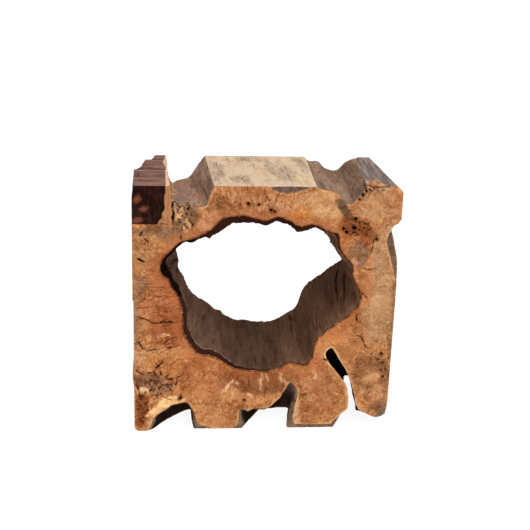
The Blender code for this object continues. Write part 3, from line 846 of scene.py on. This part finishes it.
class Shader:
    """Short ways to add nodes to a material."""

    def __init__(self, name):
        self.material = bpy.data.materials.new(name)
        self.material.use_nodes = True
        self.tree = self.material.node_tree
        self.principled = self.tree.nodes["Principled BSDF"]
        self.place = self.add("ShaderNodeTexCoord").outputs["Object"]

    def add(self, kind, **settings):
        node = self.tree.nodes.new(kind)
        for name, value in settings.items():
            setattr(node, name, value)
        return node

    def put(self, socket, value):
        """Links a socket, or sets a number or colour on it."""
        if isinstance(value, bpy.types.NodeSocket):
            self.tree.links.new(value, socket)
        elif isinstance(value, (tuple, list, np.ndarray)):
            socket.default_value = (*value, 1.0)[: len(socket.default_value)]
        else:
            socket.default_value = value

    def math(self, operation, a, b=0.0):
        node = self.add("ShaderNodeMath", operation=operation)
        self.put(node.inputs[0], a)
        self.put(node.inputs[1], b)
        return node.outputs[0]

    def times(self, a, b):
        return self.math("MULTIPLY", a, b)

    def vector(self, operation, a, b=(0.0, 0.0, 0.0)):
        node = self.add("ShaderNodeVectorMath", operation=operation)
        self.put(node.inputs[0], a)
        self.put(node.inputs[1], b)
        return node.outputs["Value" if operation == "LENGTH" else "Vector"]

    def noise_at(self, place, detail, rough, swirl):
        node = self.add("ShaderNodeTexNoise")
        self.put(node.inputs["Vector"], place)
        node.inputs["Scale"].default_value = 1.0
        node.inputs["Detail"].default_value = detail
        node.inputs["Roughness"].default_value = rough
        node.inputs["Distortion"].default_value = swirl
        return node.outputs["Fac"]

    def noise(self, across, along, detail=3, rough=0.5, swirl=0.0, turn=(0, 0, 0), place=None, up=None):
        """Noise whose features are so many millimetres across the grain (x and z) and along it (y)."""
        node = self.add("ShaderNodeMapping")
        self.put(node.inputs["Vector"], place or self.place)
        node.inputs["Rotation"].default_value = turn
        node.inputs["Scale"].default_value = [1000 / size for size in (across, along, up or across)]
        return self.noise_at(node.outputs[0], detail, rough, swirl)

    def rise(self, value, low, high, start=0.0, end=1.0):
        """Start below low, end above high, and an even rise between."""
        node = self.add("ShaderNodeMapRange", interpolation_type="SMOOTHSTEP")
        self.put(node.inputs["Value"], value)
        for name, number in (("From Min", low), ("From Max", high), ("To Min", start), ("To Max", end)):
            self.put(node.inputs[name], number)
        return node.outputs["Result"]

    def past(self, value, place, blur, start=0.0, end=1.0):
        """Start before a place and end beyond it, with a soft edge as wide as the blur on each side."""
        return self.rise(value, place - blur, place + blur, start, end)

    def lines(self, value, middle, low, high):
        """1 where the value is close to the middle, which draws thin winding lines."""
        away = self.math("ABSOLUTE", self.math("SUBTRACT", value, middle))
        return self.rise(away, low, high, 1.0, 0.0)

    def mix(self, share, a, b, blend="MIX"):
        node = self.add("ShaderNodeMix", data_type="RGBA", blend_type=blend)
        self.put(node.inputs["Factor"], share)
        self.put(node.inputs["A"], a)
        self.put(node.inputs["B"], b)
        return node.outputs["Result"]

    def toward(self, colour, other, value, low, high, start=0.0, end=1.0):
        """The colour mixed with another one, with a share that rises with the value."""
        return self.mix(self.rise(value, low, high, start, end), colour, linear(other))

    def tint(self, colour, share, factor):
        """The colour, multiplied by a factor as far as the share goes."""
        return self.mix(share, colour, self.mix(1.0, colour, factor, "MULTIPLY"))

    def vary(self, colour, value, low, high):
        """The colour made darker or lighter by a noise value."""
        return self.mix(1.0, colour, self.mix(value, (low,) * 3, (high,) * 3), "MULTIPLY")

    def stored(self, name, output="Fac"):
        return self.add("ShaderNodeAttribute", attribute_name=name).outputs[output]

    def parts(self, vector):
        node = self.add("ShaderNodeSeparateXYZ")
        self.put(node.inputs[0], vector)
        return node.outputs


def ray_noise(shader, middle, across, along, swirl):
    """Noise in streaks that run out from the hollow, across and along them in millimetres."""
    outward = shader.vector("SUBTRACT", shader.place, middle)
    outward = shader.vector("MULTIPLY", outward, (0.85, 0.0, 1.0))
    round_it = shader.vector("MULTIPLY", shader.vector("NORMALIZE", outward), (230 / across,) * 3)
    reach = shader.math("DIVIDE", shader.vector("LENGTH", outward), along * MM)
    combined = shader.add("ShaderNodeCombineXYZ")
    shader.put(combined.inputs["Y"], reach)
    return shader.noise_at(shader.vector("ADD", round_it, combined.outputs[0]), 4, 0.62, swirl)


def end_grain(shader, middle):
    """The front and rear cuts: patches, swirled burl flecks, rays, thin dark lines and pores."""
    colour = shader.stored("patches", "Vector")
    lively = shader.rise(shader.stored("calm"), 0.0, 1.0, 1.0, 0.2)
    busy = shader.rise(shader.noise(52, 120, 3, 0.55, 0.6, (0, 0.7, 0)), 0.42, 0.58, 0.35, 1.0)
    lively = shader.times(lively, busy)
    cloud = shader.noise(40, 80, 4, 0.58, 0.8)
    colour = shader.tint(colour, shader.rise(cloud, 0.5, 0.62, 0.0, 0.8), (0.74, 0.64, 0.56))
    pale = shader.noise(24, 60, 4, 0.58, 1.4, (0.4, 0, 1.1))
    colour = shader.tint(colour, shader.rise(pale, 0.52, 0.62), (1.2, 1.26, 1.34))
    fleck = shader.rise(shader.noise(14, 30, 4, 0.56, 2.4), 0.5, 0.58)
    colour = shader.tint(colour, shader.times(fleck, lively), (0.68, 0.54, 0.44))
    light_fleck = shader.rise(shader.noise(12, 30, 4, 0.56, 2.8, (0, 0.8, 0.3)), 0.54, 0.61)
    colour = shader.tint(colour, shader.times(light_fleck, lively), (1.24, 1.34, 1.44))
    rays = shader.rise(ray_noise(shader, middle, 7.0, 50.0, 1.4), 0.52, 0.61)
    rays = shader.times(rays, shader.rise(shader.stored("rays"), 0.0, 1.0, 0.3, 0.9))
    colour = shader.tint(colour, rays, (0.58, 0.46, 0.38))
    squiggle = shader.lines(shader.noise(15, 60, 4, 0.6, 1.8), 0.5, 0.005, 0.024)
    squiggly = shader.rise(shader.noise(44, 120, 3, 0.5, 0.0, (0, 0.5, 0)), 0.48, 0.58)
    marks = shader.times(shader.times(squiggle, squiggly), lively)
    colour = shader.tint(colour, marks, (0.54, 0.41, 0.33))
    figure = shader.times(shader.noise(70, 200, 3, 0.5, 0.9, (0, 0.3, 0)), 34.0)
    lines = shader.rise(shader.math("PINGPONG", figure, 1.0), 0.0, 0.22, 1.0, 0.0)
    flowing = shader.rise(shader.noise(46, 120, 3, 0.55, 0.0, (0, 2.4, 0)), 0.48, 0.6, 0.0, 0.8)
    colour = shader.tint(colour, shader.times(lines, flowing), (0.62, 0.5, 0.42))
    crescent = shader.lines(shader.noise(17, 60, 3, 0.55, 2.2, (0, 1.1, 0)), 0.52, 0.004, 0.02)
    often = shader.rise(shader.noise(34, 120, 3, 0.5, 0.0, (0, 1.9, 0)), 0.5, 0.58)
    light = shader.times(shader.times(crescent, often), lively)
    colour = shader.tint(colour, light, (1.4, 1.6, 1.8))
    crossing = shader.lines(shader.noise(26, 90, 6, 0.64, 1.2), 0.5, 0.003, 0.014)
    where = shader.rise(shader.noise(50, 120, 2, 0.5), 0.42, 0.58)
    colour = shader.tint(colour, shader.times(crossing, where), (0.34, 0.24, 0.2))
    colour = shader.vary(colour, shader.noise(18, 40, 3, 0.6, 1.0), 0.74, 1.24)
    return shader.vary(colour, shader.noise(3.2, 12, 3, 0.6), 0.84, 1.14)


def end_edges(shader, ends):
    """The cuts' dark reddish edge round the hollow, and their pale one round the outside."""
    to_hollow = shader.stored("to_hollow")
    uneven = shader.times(shader.noise(10, 40, 4, 0.6), 9.0)
    ragged = shader.math("ADD", to_hollow, shader.math("SUBTRACT", uneven, 4.5))
    ends = shader.toward(ends, RIM_RED, to_hollow, 4.0, 38.0, 0.35, 0.0)
    ends = shader.toward(ends, RIM_BROWN, ragged, 1.0, 5.5, 0.9, 0.0)
    patchy = shader.rise(shader.noise(26, 60, 3, 0.5), 0.4, 0.6, 0.1, 0.7)
    patchy = shader.math("MAXIMUM", patchy, shader.stored("pale_rims"))
    at_outside = shader.rise(shader.stored("to_outside"), 1.0, 7.0, 0.9, 0.0)
    return shader.mix(shader.times(at_outside, patchy), ends, linear(PALE))


def long_cut(shader):
    """The sides and the underside: the wood's own colours in streaks from front to back."""
    colour = shader.mix(0.45, shader.stored("patches", "Vector"), linear(SIDE_TAN))
    band = shader.noise(34, 420, 4, 0.6, 0.5)
    colour = shader.toward(colour, SIDE_STREAK, band, 0.46, 0.62, 0.0, 0.5)
    streak = shader.noise(6, 240, 5, 0.68, 0.4)
    colour = shader.toward(colour, SIDE_STREAK, streak, 0.5, 0.64, 0.0, 0.6)
    colour = shader.vary(colour, shader.noise(1.6, 60, 4, 0.7), 0.56, 1.42)
    return shader.vary(colour, shader.noise(70, 4, 2, 0.5), 0.94, 1.06)


def top_cut(shader, x, y, low):
    """The top: cream with grey-brown streaks, and grey on the right-hand peak."""
    marbled = shader.noise(30, 70, 5, 0.64, 1.4, (0, 0, 0.3))
    marbled = shader.times(shader.math("SUBTRACT", marbled, 0.5), 4.0)
    cloudy = shader.rise(shader.math("ADD", shader.stored("top_clouds"), marbled), -0.2, 1.5)
    colour = shader.mix(cloudy, linear(TOP_CREAM), linear(TOP_GREY))
    warm = shader.noise(22, 60, 3, 0.6, 1.0, (0, 0, 0.3))
    colour = shader.tint(colour, shader.rise(warm, 0.5, 0.62), (0.94, 0.86, 0.76))
    streak = shader.noise(8, 60, 5, 0.66, 1.6, (0, 0, 0.3))
    often = shader.rise(cloudy, 0.1, 0.9, 0.1, 0.8)
    marks = shader.times(shader.rise(streak, 0.52, 0.62), often)
    colour = shader.mix(marks, colour, linear(TOP_STREAK))
    right = shader.past(x, low.x + PEAK_LEFT * MM, 7 * MM)
    across = shader.noise(7, 110, 4, 0.62, 0.6, (0, 0, -0.2))
    grey = shader.toward(linear(PEAK_GREY), PEAK_DARK, across, 0.42, 0.62)
    colour = shader.mix(right, colour, grey)
    soiled = shader.rise(shader.noise(12, 40, 3, 0.6), 0.4, 0.6, 0.2, 0.9)
    at_front = shader.times(shader.past(y, low.y + 3 * MM, 2 * MM, 0.8, 0.0), soiled)
    colour = shader.mix(at_front, colour, linear(TOP_EDGE))
    return shader.vary(colour, shader.noise(2.6, 34, 4, 0.64), 0.8, 1.16)


def weathered(shader):
    """The trunk's own debarked surface."""
    broad = shader.noise(30, 130, 4, 0.6, 0.4)
    colour = shader.toward(linear(WEATHERED_DARK), WEATHERED, broad, 0.38, 0.64)
    warm = shader.noise(40, 90, 3, 0.6, 0.6, (0.3, 0, 0.5))
    colour = shader.toward(colour, WEATHERED_WARM, warm, 0.5, 0.66, 0.0, 0.5)
    fleck = shader.noise(8, 34, 5, 0.64, 0.7)
    colour = shader.toward(colour, WEATHERED_FLECK, fleck, 0.52, 0.64, 0.0, 0.6)
    colour = shader.vary(colour, shader.noise(3.2, 60, 4, 0.66), 0.74, 1.3)
    return shader.vary(colour, shader.noise(7, 14, 3, 0.6), 0.72, 1.26)


def hollow_wall(shader):
    """The hollow's wall: dark fibres that run from front to back, with painted light on its right side."""
    place = shader.stored("along_grain", "Vector")
    broad = shader.noise(24, 200, 4, 0.6, 0.3, place=place)
    colour = shader.toward(linear(WALL_DARK), WALL, broad, 0.32, 0.58)
    streak = shader.noise(5, 70, 5, 0.66, 0.4, place=place)
    colour = shader.toward(colour, WALL_LIGHT, streak, 0.52, 0.7, 0.0, 0.45)
    dark = shader.noise(9, 60, 4, 0.64, 0.6, place=place)
    colour = shader.toward(colour, NEAR_BLACK, dark, 0.55, 0.7, 0.0, 0.5)
    # Painted light: the right side of the wall, which the lamp leaves in shade, made lighter.
    colour = shader.tint(colour, shader.stored("right_wall_painted_light"), (1.75, 1.7, 1.6))
    colour = shader.vary(colour, shader.noise(6, 12, 3, 0.6, place=place), 0.74, 1.26)
    return shader.vary(colour, shader.noise(2.4, 30, 4, 0.66, place=place), 0.72, 1.28)


def heart_block(shader, colour, x, z, low):
    """The dark heartwood corner at the upper left, with its pale sapwood stripe; painted sheen pales the
    tops of both.
    """
    wobble = shader.math("SUBTRACT", shader.noise(34, 90, 2, 0.5), 0.5)
    here = shader.math("ADD", x, shader.times(wobble, 20 * MM))
    bottom = low.z + HEART_BOTTOM * MM
    here = shader.math("ADD", here, shader.rise(z, bottom, bottom + 17 * MM, 10 * MM, 0.0))
    here = shader.math("SUBTRACT", here, shader.rise(z, bottom + 20 * MM, bottom + 42 * MM, 0.0, 4 * MM))
    high_up = shader.past(z, bottom, 1 * MM)
    in_heart = shader.past(here, low.x + HEART_RIGHT * MM, 1.6 * MM, 1.0, 0.0)
    in_sap = shader.past(x, low.x + SAP_RIGHT * MM, 1 * MM, 1.0, 0.0)
    grain = shader.rise(shader.noise(7, 50, 4, 0.64, 0.8, up=34), 0.34, 0.66)
    top_share = shader.stored("top_cut")
    # Painted sheen: the sapwood's top paler and greyer than its front.
    sapwood = shader.vary(shader.mix(top_share, linear(SAPWOOD), linear(SAPWOOD_TOP_WITH_SHEEN)), grain, 0.8, 1.2)
    bands = shader.noise(90, 11, 5, 0.66, 0.6)
    # Painted sheen: the post's top paler and greyer than its end grain.
    on_top_with_sheen = shader.toward(linear(POST_TOP_DARK_WITH_SHEEN), POST_TOP_WITH_SHEEN, bands, 0.36, 0.62)
    on_front = shader.toward(linear(HEARTWOOD), HEART_RED, grain, 0.3, 0.9)
    on_front = shader.mix(shader.stored("heart_spots"), on_front, linear(HEART_SPOT))
    fibres = shader.noise(6, 110, 5, 0.66, 0.3)
    on_side = shader.toward(linear(HEARTWOOD), HEART_SIDE, fibres, 0.4, 0.64)
    heartwood = shader.mix(shader.stored("end_cut"), on_side, on_front)
    heartwood = shader.mix(top_share, heartwood, on_top_with_sheen)
    colour = shader.mix(shader.times(in_sap, high_up), colour, sapwood)
    return shader.mix(shader.times(in_heart, high_up), colour, heartwood)


def rim_and_lip_highlight(shader, colour, y, low):
    """The hollow's wall with its dark rim, and a broken painted highlight along the lip where that ends.
    """
    past_rim = shader.math("SUBTRACT", shader.math("SUBTRACT", y, low.y), shader.stored("rim_end"))
    in_rim = shader.past(past_rim, 0.0, 1.2 * MM, 0.94, 0.0)
    colour = shader.mix(shader.times(shader.stored("wall"), in_rim), colour, linear(RIM_DARK))
    from_lip = shader.math("ABSOLUTE", shader.math("SUBTRACT", past_rim, 2.5 * MM))
    on_lip_highlight = shader.times(shader.rise(from_lip, 0.8 * MM, 2.4 * MM, 0.6, 0.0), shader.stored("lip_highlight"))
    here = shader.rise(shader.noise(16, 60, 3, 0.6), 0.42, 0.56)
    return shader.mix(shader.times(on_lip_highlight, here), colour, linear(LIP_HIGHLIGHT))


def wood(low):
    """The one material of the slice."""
    shader = Shader("tamarind wood")
    x, y, z = shader.parts(shader.place)
    middle = (low.x + HOLLOW[0] * MM, 0.0, low.z + HOLLOW[1] * MM)
    colour = shader.mix(shader.stored("wall"), weathered(shader), hollow_wall(shader))
    # Painted light: the hollow's left wall and the left-hand valley made lighter.
    colour = shader.tint(colour, shader.stored("left_side_painted_light"), (1.6, 1.66, 1.75))
    colour = rim_and_lip_highlight(shader, colour, y, low)
    colour = shader.mix(shader.stored("long_cut"), colour, long_cut(shader))
    colour = shader.mix(shader.stored("top_cut"), colour, top_cut(shader, x, y, low))
    ends = end_edges(shader, end_grain(shader, middle))
    colour = shader.mix(shader.rise(shader.stored("end_cut"), 0.3, 0.7), colour, ends)
    colour = heart_block(shader, colour, x, z, low)
    # Painted shade: the gaps, slot, undersides, pocket, low parts, scoop and strip turn near-black.
    colour = shader.mix(shader.stored("shade"), colour, linear(NEAR_BLACK))
    # Painted shade in the carved cracks, pits, grooves and checks: crevice brown, and near-black where
    # deepest.
    dark = shader.stored("dark")
    colour = shader.mix(dark, colour, linear(CREVICE_SHADE))
    colour = shader.toward(colour, NEAR_BLACK, dark, 0.7, 1.0, 0.0, 0.7)

    shader.put(shader.principled.inputs["Base Color"], colour)
    rough = shader.noise(5, 30, 3, 0.5)
    shader.put(shader.principled.inputs["Roughness"], shader.rise(rough, 0.3, 0.7, 0.58, 0.78))
    shader.principled.inputs["Specular IOR Level"].default_value = 0.0
    bump = shader.add("ShaderNodeBump")
    bump.inputs["Strength"].default_value = 0.6
    bump.inputs["Distance"].default_value = 0.0012
    shader.put(bump.inputs["Height"], shader.noise(2.2, 26, 5, 0.68))
    shader.put(shader.principled.inputs["Normal"], bump.outputs["Normal"])
    return shader.material


def make_slice(node, low, high):
    mesh = fine_mesh(node)
    work(mesh, low, high)
    piece = bpy.data.objects.new("slice", mesh)
    bpy.context.scene.collection.objects.link(piece)
    piece.data = reduced(piece)
    piece.data.name = "slice"
    piece.data.materials.clear()
    piece.data.materials.append(wood(low))
    piece.data.shade_smooth()
    return piece


def make_floor():
    """A pale floor that glows a little, so that it stays light under the slice."""
    bpy.ops.mesh.primitive_plane_add(size=FLOOR_SIZE, location=(0, 0, -FLOOR_DROP))
    floor = bpy.context.active_object
    floor.name = "floor"
    shader = Shader("floor")
    shader.put(shader.principled.inputs["Base Color"], (0.17, 0.17, 0.17))
    shader.principled.inputs["Roughness"].default_value = 0.9
    shader.principled.inputs["Specular IOR Level"].default_value = 0.0
    shader.put(shader.principled.inputs["Emission Color"], (1.0, 1.0, 1.0))
    shader.principled.inputs["Emission Strength"].default_value = 0.92
    floor.data.materials.append(shader.material)
    return floor


def make_sun(name, toward, angle, power):
    """A wide soft lamp that shines along a direction."""
    data = bpy.data.lights.new(name, "SUN")
    data.angle = math.radians(angle)
    data.energy = power
    lamp = bpy.data.objects.new(name, data)
    lamp.rotation_euler = Vector(toward).to_track_quat("-Z", "Y").to_euler()
    bpy.context.scene.collection.objects.link(lamp)


def make_world():
    """A white backdrop that lights the slice less than it shows."""
    world = bpy.data.worlds.new("studio")
    world.use_nodes = True
    tree = world.node_tree
    seen = tree.nodes["Background"]
    seen.inputs["Color"].default_value = (1, 1, 1, 1)
    seen.inputs["Strength"].default_value = 1.0
    lit = tree.nodes.new("ShaderNodeBackground")
    lit.inputs["Color"].default_value = (1, 1, 1, 1)
    lit.inputs["Strength"].default_value = 0.45
    path = tree.nodes.new("ShaderNodeLightPath")
    either = tree.nodes.new("ShaderNodeMixShader")
    tree.links.new(path.outputs["Is Camera Ray"], either.inputs["Fac"])
    tree.links.new(lit.outputs[0], either.inputs[1])
    tree.links.new(seen.outputs[0], either.inputs[2])
    tree.links.new(either.outputs[0], tree.nodes["World Output"].inputs["Surface"])
    bpy.context.scene.world = world
    bpy.context.scene.view_settings.view_transform = "Standard"


def make_camera():
    data = bpy.data.cameras.new("camera")
    data.lens = LENS
    data.sensor_width = SENSOR
    camera = bpy.data.objects.new("camera", data)
    camera.location = CAMERA_AT
    camera.rotation_euler = (math.pi / 2 - CAMERA_PITCH, 0, -CAMERA_YAW)
    camera.rotation_euler.rotate_axis("Z", -CAMERA_ROLL)
    bpy.context.scene.collection.objects.link(camera)
    bpy.context.scene.camera = camera


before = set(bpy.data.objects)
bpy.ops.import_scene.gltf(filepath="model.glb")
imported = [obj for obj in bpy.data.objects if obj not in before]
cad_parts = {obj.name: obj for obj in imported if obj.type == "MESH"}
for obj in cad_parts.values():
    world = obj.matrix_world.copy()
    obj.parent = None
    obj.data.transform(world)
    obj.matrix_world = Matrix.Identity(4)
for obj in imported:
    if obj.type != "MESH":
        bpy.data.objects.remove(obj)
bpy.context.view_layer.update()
low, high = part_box(NODE)

slice_piece = make_slice(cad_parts[NODE], low, high)
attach(slice_piece, "root")
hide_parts(NODE)

make_floor()
make_world()
make_sun("key", (-0.35, 0.72, -0.85), 50, 2.5)
make_camera()
